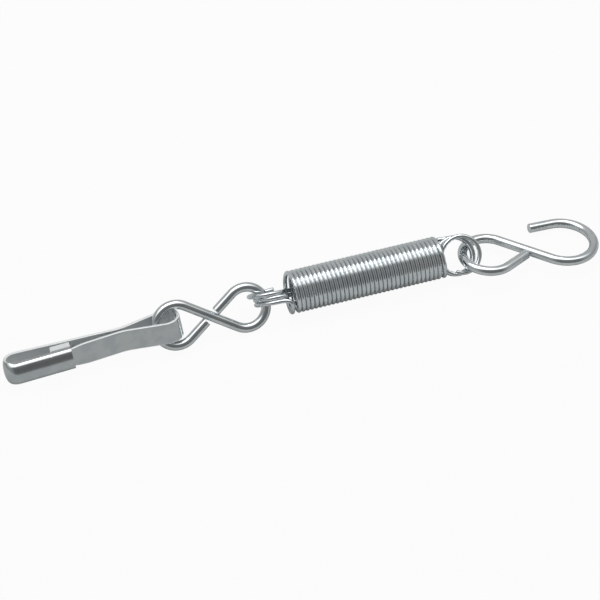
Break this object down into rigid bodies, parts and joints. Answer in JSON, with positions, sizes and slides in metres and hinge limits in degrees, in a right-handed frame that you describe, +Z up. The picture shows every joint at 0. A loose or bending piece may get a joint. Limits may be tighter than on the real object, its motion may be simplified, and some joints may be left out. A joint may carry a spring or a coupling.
{
  "type": "extension spring with hooks",
  "caption": "Close-wound extension spring with looped ends, a closed wire link, a folded-strip snap hook at one end and an open S-hook at the other.",
  "frame": {"origin": "load point inside the rounded nose of the snap hook, on the strip's centre plane", "axes": "+X along the chain from the snap hook to the open hook, parallel to the spring's axis; +Z up from the floor that the chain lies on"},
  "size_m": [0.1924, 0.0221, 0.0138],
  "materials": {
    "plated_strip": "bright zinc plate on spring strip",
    "plated_link_wire": "bright zinc plate on drawn wire",
    "plated_spring_wire": "bright zinc plate on spring wire"
  },
  "bodies": {
    "spring": {"spring": "plated_spring_wire"},
    "link": {"figure_eight_link": "plated_link_wire"},
    "snap": {"snap_hook": "plated_strip"},
    "hook": {"open_hook": "plated_link_wire"}
  },
  "joints": [
    {"name": "spring_stretch", "type": "slide", "parent": "spring", "child": "link", "axis": [-1, 0, 0], "range_m": [0, 0.05], "stiffness_N_per_m": 540, "deforming": ["spring"]},
    {"name": "snap_hook_swing", "type": "hinge", "parent": "link", "child": "snap", "pos_m": [0.04804, 0.00029, 0.00313], "axis": [0.055, 0.3167, 0.9469], "range_deg": [-35, 30]},
    {"name": "open_hook_swing", "type": "hinge", "parent": "spring", "child": "hook", "pos_m": [0.14664, 0.0007, 0.00119], "axis": [0.0116, 0.9848, -0.1732], "range_deg": [-30, 60]}
  ]
}
